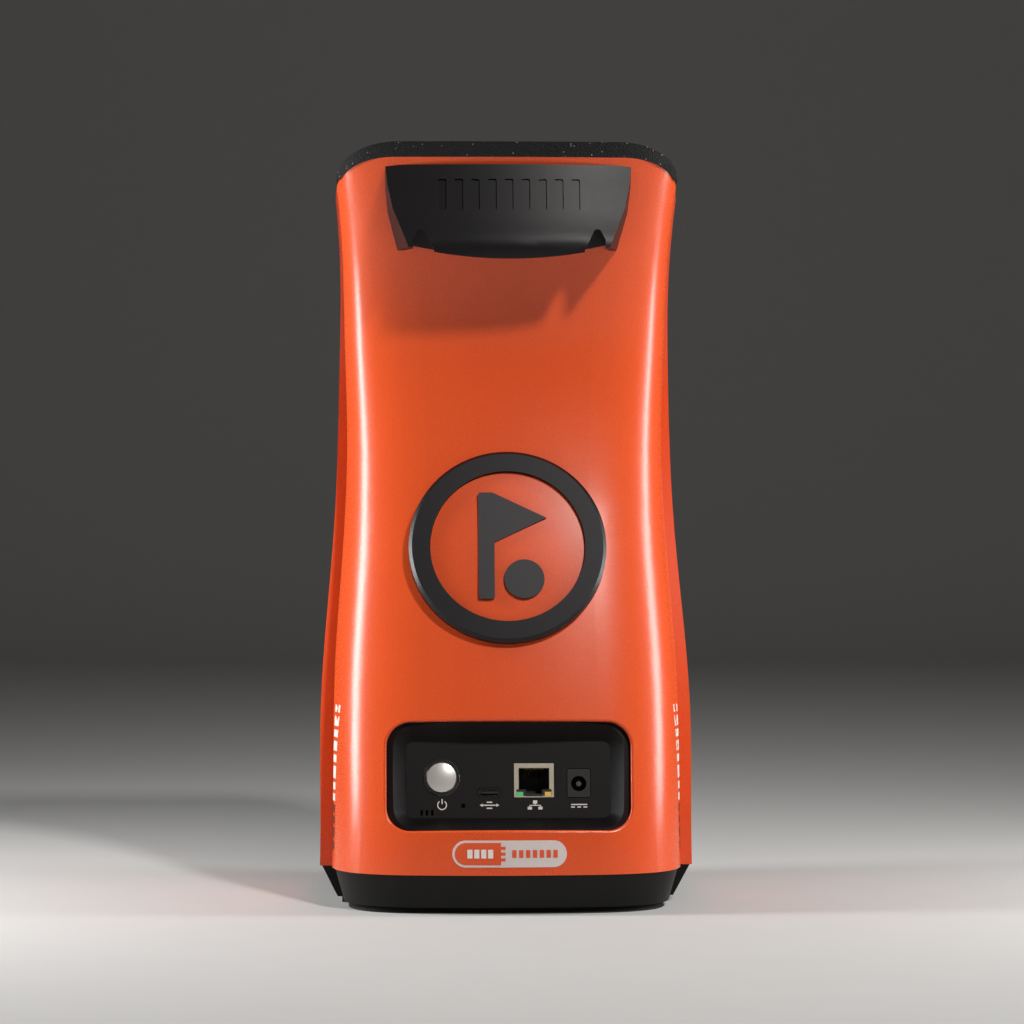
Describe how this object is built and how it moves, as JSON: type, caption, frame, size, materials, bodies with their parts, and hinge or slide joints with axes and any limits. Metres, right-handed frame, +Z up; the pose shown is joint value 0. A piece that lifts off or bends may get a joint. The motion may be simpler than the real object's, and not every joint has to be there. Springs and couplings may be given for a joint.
{
  "type": "golf launch monitor",
  "caption": "Upright free-standing camera launch monitor: orange body, black grip hood over a finger gap, round badge, rear port recess with a press button, dark front window.",
  "frame": {"origin": "centre of the footprint's bounding box, on the ground plane under the foot pad", "axes": "+Z up along the height; -Y out of the rear face with the ports and the grip; +Y out of the front face with the camera window and display; +X to the right when looking at the rear face"},
  "size_m": [0.1504, 0.1272, 0.305],
  "materials": {
    "orange_plastic": "satin orange moulded plastic",
    "black_rubber": "coarse grained black rubber",
    "black_soft": "black soft-touch plastic",
    "black_panel": "black textured plastic",
    "black_gloss": "black satin badge ring and mark",
    "label_grey": "pale grey printed label",
    "gasket_rubber": "black gasket rubber",
    "silver_button": "satin silver button cap",
    "bright_rim": "bright ring",
    "jack_metal": "tinned steel shield",
    "jack_black": "black connector plastic",
    "gold_contact": "gold plated contacts",
    "green_light": "green light pipe",
    "yellow_light": "yellow light pipe",
    "pin_metal": "nickel plated pin",
    "dark_glass": "infrared-pass dark window",
    "clear_glass": "clear cover glass",
    "display": "display panel",
    "aluminium": "bare machined aluminium",
    "camera_black": "black anodised barrels",
    "lens_glass": "coated lens glass",
    "circuit_green": "green circuit board",
    "circuit_white": "white circuit board",
    "strobe_clear": "clear infrared emitters",
    "chip_black": "black chip packages",
    "battery_wrap": "blue shrink wrap",
    "cradle_plastic": "dark grey plastic",
    "wire": "wire insulation",
    "ribbon": "amber flexible circuit",
    "screw_steel": "steel machine screws"
  },
  "bodies": {
    "housing": {"rear_shell": "orange_plastic", "front_housing": "orange_plastic", "badge_disc": "orange_plastic", "top_pad": "black_rubber", "foot_pad": "black_rubber", "handle_hood": "black_soft", "handle_liner": "black_soft", "base_tray": "black_soft", "io_panel": "black_panel", "front_bezel": "black_panel", "badge_ring": "black_gloss", "badge_emblem": "black_gloss", "feature_label": "label_grey", "shell_gasket": "gasket_rubber", "io_panel_gasket": "gasket_rubber", "window_gasket": "gasket_rubber", "display_gasket": "gasket_rubber", "button_rim": "bright_rim", "ethernet_shell": "jack_metal", "usb_c_shell": "jack_metal", "ethernet_body": "jack_black", "usb_c_tongue": "jack_black", "dc_jack_body": "jack_black", "power_switch_body": "jack_black", "reset_switch_body": "jack_black", "beeper": "jack_black", "ethernet_contacts": "gold_contact", "ethernet_led_green": "green_light", "ethernet_led_yellow": "yellow_light", "dc_jack_pin": "pin_metal", "camera_window": "dark_glass", "display_glass": "clear_glass", "display_module": "display", "chassis": "aluminium", "camera_rail": "aluminium", "heatsink": "aluminium", "camera_barrels": "camera_black", "camera_lenses": "lens_glass", "camera_boards": "circuit_green", "io_board": "circuit_green", "button_board": "circuit_green", "main_board": "circuit_green", "wifi_antenna": "circuit_green", "strobe_boards": "circuit_white", "strobe_leds": "strobe_clear", "processor_chips": "chip_black", "battery_pack": "battery_wrap", "battery_cradle": "cradle_plastic", "battery_lead": "wire", "io_cable": "ribbon", "base_screws": "screw_steel", "shell_screws": "screw_steel", "handle_screws": "screw_steel", "chassis_screws": "screw_steel", "cradle_screws": "screw_steel", "main_board_screws": "screw_steel", "io_board_screws": "screw_steel"},
    "power_key": {"power_button": "silver_button"},
    "power_switch": {"power_switch_plunger": "jack_black"},
    "reset_switch": {"reset_switch_plunger": "jack_black"}
  },
  "joints": [
    {"name": "power_button_press", "type": "slide", "parent": "housing", "child": "power_key", "axis": [0, 0.9848, -0.1736], "range_m": [0, 0.0007], "stiffness_N_per_m": 1500, "springref_m": -0.0004},
    {"name": "power_switch_press", "type": "slide", "parent": "housing", "child": "power_switch", "axis": [0, 0.9848, -0.1736], "range_m": [0, 0.0007]},
    {"name": "reset_switch_press", "type": "slide", "parent": "housing", "child": "reset_switch", "axis": [0, 0.9848, -0.1736], "range_m": [0, 0.00025], "stiffness_N_per_m": 3000, "springref_m": -0.0002}
  ],
  "couplings": [
    {"joint": "power_switch_press", "follows": "power_button_press", "ratio": 1}
  ]
}
